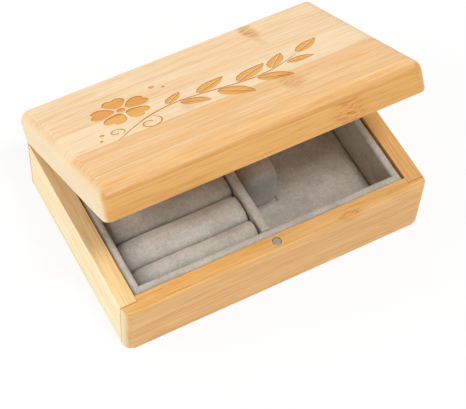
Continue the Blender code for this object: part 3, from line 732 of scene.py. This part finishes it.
def plated(name, colours, roughness, centre=None, ring=None):
    """Plated metal, clouded from a bright to a worn colour, with fine scratches.

    Where a centre is given, it has turned rings about it in place of the scratches: a sine of the
    distance in plan.
    """
    bright, worn = colours
    material, tree, shader = start_material(name)
    point = object_millimetres(tree)
    cloud = noise(tree, point, cloud_size, 3.0)
    height = noise(tree, point, scratch_size, 2.0)
    plug(tree, shader.inputs["Base Color"], mix(tree, fade(tree, cloud, 0.40, 0.68), bright, worn))
    plug(tree, shader.inputs["Roughness"],
         fade(tree, cloud, 0.3, 0.7, roughness, roughness + worn_roughness))
    shader.inputs["Metallic"].default_value = 1.0
    if centre:
        around = add_node(tree, "ShaderNodeVectorMath", (point, centre), operation="SUBTRACT").outputs[0]
        parts = add_node(tree, "ShaderNodeSeparateXYZ", (around,)).outputs
        in_plan = add_node(tree, "ShaderNodeCombineXYZ", (parts[0], parts[1], 0.0)).outputs[0]
        away = add_node(tree, "ShaderNodeVectorMath", (in_plan,), operation="LENGTH").outputs["Value"]
        height = calc(tree, "SINE", calc(tree, "MULTIPLY", away, 2 * math.pi / ring))
    raise_surface(tree, shader, height, 0.3, plate_relief)
    return material


magnet_place = tuple(1000 * (low + high) / 2 for low, high in zip(*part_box("body_magnet")))
ring_spacing = 0.45
nickel_tones, nickel_roughness = ((0.60, 0.56, 0.49), (0.42, 0.37, 0.31)), 0.42
rim_nickel = plated("nickel", nickel_tones, nickel_roughness, magnet_place, ring_spacing)
lid_nickel = plated("nickel_lid", nickel_tones, nickel_roughness)
smooth_copy("body_magnet", "rim_magnet", rim_nickel, "box")
smooth_copy("lid_magnet", "lid_magnet_disc", lid_nickel, "lid")


# Hinges: two small brass butt hinges let into the back edge, a leaf in the box and a leaf in the lid.
# A pin runs through the knuckles, and two slotted screws hold each leaf.
leaf_brass = plated("brass", ((0.72, 0.50, 0.20), (0.55, 0.36, 0.14)), 0.26)
pin_brass = plated("brass_pin", ((0.76, 0.56, 0.27), (0.60, 0.42, 0.20)), 0.22)
for side in ("left", "right"):
    for half, body in (("body", "box"), ("lid", "lid")):
        smooth_copy(f"hinge_{side}_{half}_leaf", f"{side}_leaf_{half}", leaf_brass, body)
        for number in (1, 2):
            screw, name = f"hinge_{side}_{half}_screw_{number}", f"{side}_screw_{half}_{number}"
            smooth_copy(screw, name, pin_brass, body)
    smooth_copy(f"hinge_{side}_pin", f"{side}_pin", pin_brass, "box")


# Lid: one thick panel of five wide strips in three plies, hollowed underneath and well rounded on top.
# A leafy spray is burnt 0.3 mm into its top with a laser, amber with dark outlines.
burnt_amber = (0.88, 0.60, 0.25)
burnt_rim = (0.62, 0.50, 0.38)
cream = ((0.920, 0.730, 0.480), (0.810, 0.435, 0.135))
amber = ((0.780, 0.430, 0.132), (0.585, 0.256, 0.052))
lid_turn = math.radians(-31.0)
hinge_y, hinge_z = 0.0582, 0.0377
lid_top, lid_middle = 0.0182, -0.0582
lid_first_edge, lid_strip, lid_ply = -131.2, 27.2, 6.1
lid_tones = (0.75, 0.72, 0.18, 0.42, 0.36)
lid_knuckles = (((43.0, -12.0, 18.0), (5.0, 13.0, 7.0), 0.85),
                ((42.0, -31.0, 18.0), (3.0, 8.0, 6.0), 0.25),
                ((-20.0, -70.0, 18.0), (4.0, 8.0, 6.0), 0.25),
                ((31.0, -88.0, 18.0), (7.0, 12.0, 6.0), 0.65),
                ((45.0, -119.7, 6.0), (11.0, 3.5, 8.0), 1.0))
lid_wood = bamboo("bamboo_lid", along_x, (0.0, hinge_y, hinge_z), (lid_turn, 0.0, 0.0), lid_first_edge,
                  lid_strip, lid_tones, cream, 59.0, knuckles=lid_knuckles,
                  plies=(3 * lid_ply, lid_ply, amber), burnt=True)

# the burnt spray: depths in metres, widths in millimetres
burn_depth, burn_overrun = 0.0003, 0.0005
stem_width, tendril_width, midrib_gap = 1.1, 0.9, 0.2


def way(angle):
    """The unit vector at an angle."""
    return np.array([np.cos(angle), np.sin(angle)])


def stem(t):
    """Points of the stem in millimetres: a straight rise with one slow wave on it."""
    return np.stack([-62 + 110 * t, -21 + 26 * t + 10 * np.sin(2 * np.pi * (0.86 * t + 0.02))], -1)


def ribbon(path, width):
    """A patch along a path: points half the width to each side, narrowed near both ends."""
    run = np.gradient(path, axis=0)
    run /= np.linalg.norm(run, axis=1, keepdims=True)
    t = np.linspace(0, 1, len(path))
    half = 0.5 * width * np.clip(4 * np.minimum(t, 1 - t) + 0.25, 0, 1)
    side = np.stack([-run[:, 1], run[:, 0]], -1)
    return path[:, None] + side[:, None] * (half[:, None] * np.array([-1, -0.4, 0.4, 1.0]))[..., None]


def tendril(start, angle, radius, turns, hand):
    """A path that winds in: the radius shrinks evenly as the angle grows."""
    t = np.linspace(0, 1, 60)
    around = angle + hand * turns * 2 * np.pi * t
    out = radius * (1 - 0.8 * t)
    centre = start - radius * way(angle)
    return centre + np.stack([out * np.cos(around), out * np.sin(around)], -1)


def half_leaf(base, angle, length, width, hand, bend):
    """One half of a leaf, from a thin gap at the midrib out to an edge that swells as a sine wave."""
    t = np.linspace(0.015, 0.985, 30)
    swell = np.sin(np.pi * t ** 0.8) ** 0.9
    outward = swell[:, None] * np.array([0, 0.1, 0.3, 0.7, 0.9, 1.0])
    off = midrib_gap * np.clip(swell * 3, 0, 1)[:, None] + width / 2 * outward
    lean = bend * length * np.sin(np.pi * t / 2) ** 2
    along, across = way(angle), np.array([-np.sin(angle), np.cos(angle)])
    return base + (t * length)[:, None, None] * along + (hand * off + lean[:, None])[..., None] * across


def petal(centre, angle, inner, outer, width):
    """A petal from an inner to an outer radius, widest past the middle and notched at its tip."""
    t, s = np.linspace(0, 1, 24)[:, None], np.array([-1, -0.88, -0.5, -0.2, 0, 0.2, 0.5, 0.88, 1.0])
    swell = np.sqrt(np.sin(np.pi * (0.06 + 0.88 * t) ** 1.5))
    out = inner + (outer - inner) * t * (1 - 0.10 * t * np.exp(-(s / 0.35) ** 2))
    along, across = way(angle), np.array([-np.sin(angle), np.cos(angle)])
    return centre + out[..., None] * along + (width / 2 * swell * s)[..., None] * across


def dot(centre, radius):
    """A disc from a square grid, each row and column bent so that the square's rim becomes the circle."""
    a, b = np.meshgrid(*[np.array([-1, -0.75, -0.4, 0, 0.4, 0.75, 1.0])] * 2, indexing="ij")
    round_off = np.stack([a * np.sqrt(1 - b * b / 2), b * np.sqrt(1 - a * a / 2)], -1)
    return np.array(centre) + radius * round_off


def on_lid(across, forward, height):
    """Millimetres from the middle of the lid's top, and metres above it, as points on the open lid."""
    y, z = lid_middle + forward / 1000, lid_top + height
    cosine, sine = math.cos(lid_turn), math.sin(lid_turn)
    return np.stack([across / 1000, hinge_y + y * cosine - z * sine, hinge_z + y * sine + z * cosine], -1)


def burn_block(patch, first):
    """A closed block that cuts one patch: its floor, walls and top, with corner marks of rim and floor."""
    grid = patch.shape[:2]
    count = grid[0] * grid[1]
    floor = on_lid(patch[..., 0], patch[..., 1], np.full(grid, -burn_depth))
    above = on_lid(patch[..., 0], patch[..., 1], np.full(grid, burn_overrun))
    index = np.arange(count).reshape(grid)
    quads = np.stack([index[:-1, :-1], index[:-1, 1:], index[1:, 1:], index[1:, :-1]], -1).reshape(-1, 4)
    loop = np.concatenate([index[0, :-1], index[:-1, -1], index[-1, :0:-1], index[:0:-1, 0]])
    following = np.roll(loop, -1)
    walls = np.stack([loop, loop + count, following + count, following], -1)
    faces = np.concatenate([quads, quads[:, ::-1] + count, walls])
    at_rim = np.zeros(2 * count)
    at_rim[loop] = at_rim[count:] = 1
    return np.concatenate([floor.reshape(-1, 3), above.reshape(-1, 3)]), faces + first, at_rim


def heading(t):
    """The stem's direction, as an angle."""
    return np.arctan2(*(stem(t + 0.01) - stem(t - 0.01))[::-1])


# each leaf on the stem: its place along it, its side, its length and its width
leaves = ((0.32, 1, 14, 6.2), (0.375, -1, 17, 7.4), (0.47, 1, 20, 8.8), (0.56, -1, 22, 9.6),
          (0.66, 1, 22, 9.6), (0.75, -1, 20, 8.8), (0.845, 1, 18, 7.8), (0.92, -1, 15, 6.6))
leaf_angle, leaf_bend, leaf_off = 0.74, 0.10, 1.3
patches = [ribbon(stem(np.linspace(0, 1, 160)), stem_width)]
for at, hand, length, width in leaves:
    lean = heading(at)
    base = stem(at) + np.array([-np.sin(lean), np.cos(lean)]) * hand * leaf_off
    patches += [half_leaf(base, lean + hand * leaf_angle, length, width, half, -leaf_bend * hand)
                for half in (-1, 1)]
tip = heading(0.985)
tip_base = stem(1.0) + way(tip) * 1.2
patches += [half_leaf(tip_base, tip, 18, 7.8, half, 0.0) for half in (-1, 1)]
blossom = np.array([-47.5, 12.5])
patches += [petal(blossom, np.pi / 2 + number * 2 * np.pi / 5, 3.8, 16.0, 12.6) for number in range(5)]
patches += [dot(blossom, 2.3), dot((-25.0, 25.0), 1.5), dot((-20.0, 20.5), 1.0), dot((-66.0, -7.5), 1.3),
            dot((-68.5, -13.5), 0.9)]
long_curl = tendril(stem(0.215) + np.array([0.4, -1.5]), np.radians(60), 7.2, 1.15, -1)
short_curl = tendril(stem(0.05) + np.array([-0.2, 1.8]), np.radians(-60), 4.6, 1.1, 1)
patches += [ribbon(long_curl, tendril_width), ribbon(short_curl, tendril_width)]

# one cutter from all the patches, taken out of a merged copy of the lid
blocks, first = [], 0
for patch in patches:
    blocks.append(burn_block(patch, first))
    first += len(blocks[-1][0])
burner_mesh = bpy.data.meshes.new("burner")
burner_mesh.from_pydata(np.concatenate([block[0] for block in blocks]).tolist(), [],
                        np.concatenate([block[1] for block in blocks]).tolist())
at_rim = np.concatenate([block[2] for block in blocks])
corner = np.zeros(len(burner_mesh.loops), int)
burner_mesh.loops.foreach_get("vertex_index", corner)
marks = burner_mesh.uv_layers.new(name="burn")
marks.data.foreach_set("uv", np.stack([at_rim[corner], np.ones(len(corner))], -1).ravel())
mend(burner_mesh, outwards=True)
burner = put_in_scene("burner", burner_mesh)

lid_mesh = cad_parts["lid_board"].data.copy()
mend(lid_mesh, join_distance)
while lid_mesh.uv_layers:
    lid_mesh.uv_layers.remove(lid_mesh.uv_layers[0])
plain = lid_mesh.uv_layers.new(name="burn")
plain.data.foreach_set("uv", np.zeros(2 * len(lid_mesh.loops)))
uncut = put_in_scene("uncut lid", lid_mesh)
cut = uncut.modifiers.new("burn", "BOOLEAN")
cut.object = burner
cut.operation = "DIFFERENCE"
cut.solver = "EXACT"
engraved = bpy.data.meshes.new_from_object(uncut.evaluated_get(bpy.context.evaluated_depsgraph_get()))
bpy.data.objects.remove(uncut)
bpy.data.objects.remove(burner)
finish_piece("lid_panel", engraved, lid_wood, "lid", ("lid_board",), wood_sharp)
even_shading(engraved, wood_sharp)


# Studio: a plain white floor that keeps a faint shadow, an even white surround, and two soft lamps,
# one high in front and a wider one at the left. The camera has the photograph's point of view.
def bare_tree(block):
    """The emptied node tree of a material or world, and 1 where a camera, mirror or glass sees it."""
    block.use_nodes = True
    tree = block.node_tree
    tree.nodes.clear()
    rays = add_node(tree, "ShaderNodeLightPath").outputs
    mirrored = calc(tree, "MAXIMUM", rays["Is Glossy Ray"], rays["Is Transmission Ray"])
    return tree, calc(tree, "MAXIMUM", rays["Is Camera Ray"], mirrored)


floor_reach, floor_white, shown_share = 4.0, (0.93, 0.93, 0.93, 1.0), 0.85
full_white, surround_strength = (1.0, 1.0, 1.0, 1.0), 0.54
floor_corners = [(x * floor_reach, y * floor_reach, 0.0) for x, y in ((-1, -1), (1, -1), (1, 1), (-1, 1))]
floor_mesh = bpy.data.meshes.new("studio floor")
floor_mesh.from_pydata(floor_corners, [], [(0, 1, 2, 3)])
floor = put_in_scene("studio floor", floor_mesh)
paper = bpy.data.materials.new("studio paper")
tree, seen = bare_tree(paper)
white_light = add_node(tree, "ShaderNodeEmission", (full_white, 1.0)).outputs[0]
matt_white = add_node(tree, "ShaderNodeBsdfDiffuse", (floor_white,)).outputs[0]
shown = calc(tree, "MULTIPLY", seen, shown_share)
both = add_node(tree, "ShaderNodeMixShader", (shown, matt_white, white_light)).outputs[0]
add_node(tree, "ShaderNodeOutputMaterial", (both,))
floor_mesh.materials.append(paper)

surround = bpy.data.worlds.new("studio surround")
tree, seen = bare_tree(surround)
strength = fade(tree, seen, 0.0, 1.0, surround_strength, 1.0)
glow = add_node(tree, "ShaderNodeBackground", (full_white, strength)).outputs[0]
add_node(tree, "ShaderNodeOutputWorld", (glow,))
bpy.context.scene.world = surround

lamps = (("key lamp", (0.45, -1.06, 2.98), 43.5, 0.6), ("side lamp", (-2.55, 0.90, 1.70), 38.0, 1.4))
for name, place, power, width in lamps:
    lamp_data = bpy.data.lights.new(name, "AREA")
    lamp_data.energy = power
    lamp_data.size = width
    lamp = put_in_scene(name, lamp_data)
    lamp.location = place
    lamp.rotation_euler = (-lamp.location).to_track_quat("-Z", "Y").to_euler()

camera_data = bpy.data.cameras.new("camera")
camera_data.sensor_fit = "HORIZONTAL"
camera_data.sensor_width = 36.0
camera_data.lens = 119.58
camera_data.shift_x = -0.00345
camera_data.shift_y = 0.0482
camera = put_in_scene("camera", camera_data)
camera.location = (-0.240857, -0.405515, 0.719722)
camera.rotation_euler = tuple(math.radians(angle) for angle in (32.1596, -2.2050, -28.0852))
bpy.context.scene.camera = camera
bpy.context.scene.view_settings.view_transform = "Standard"
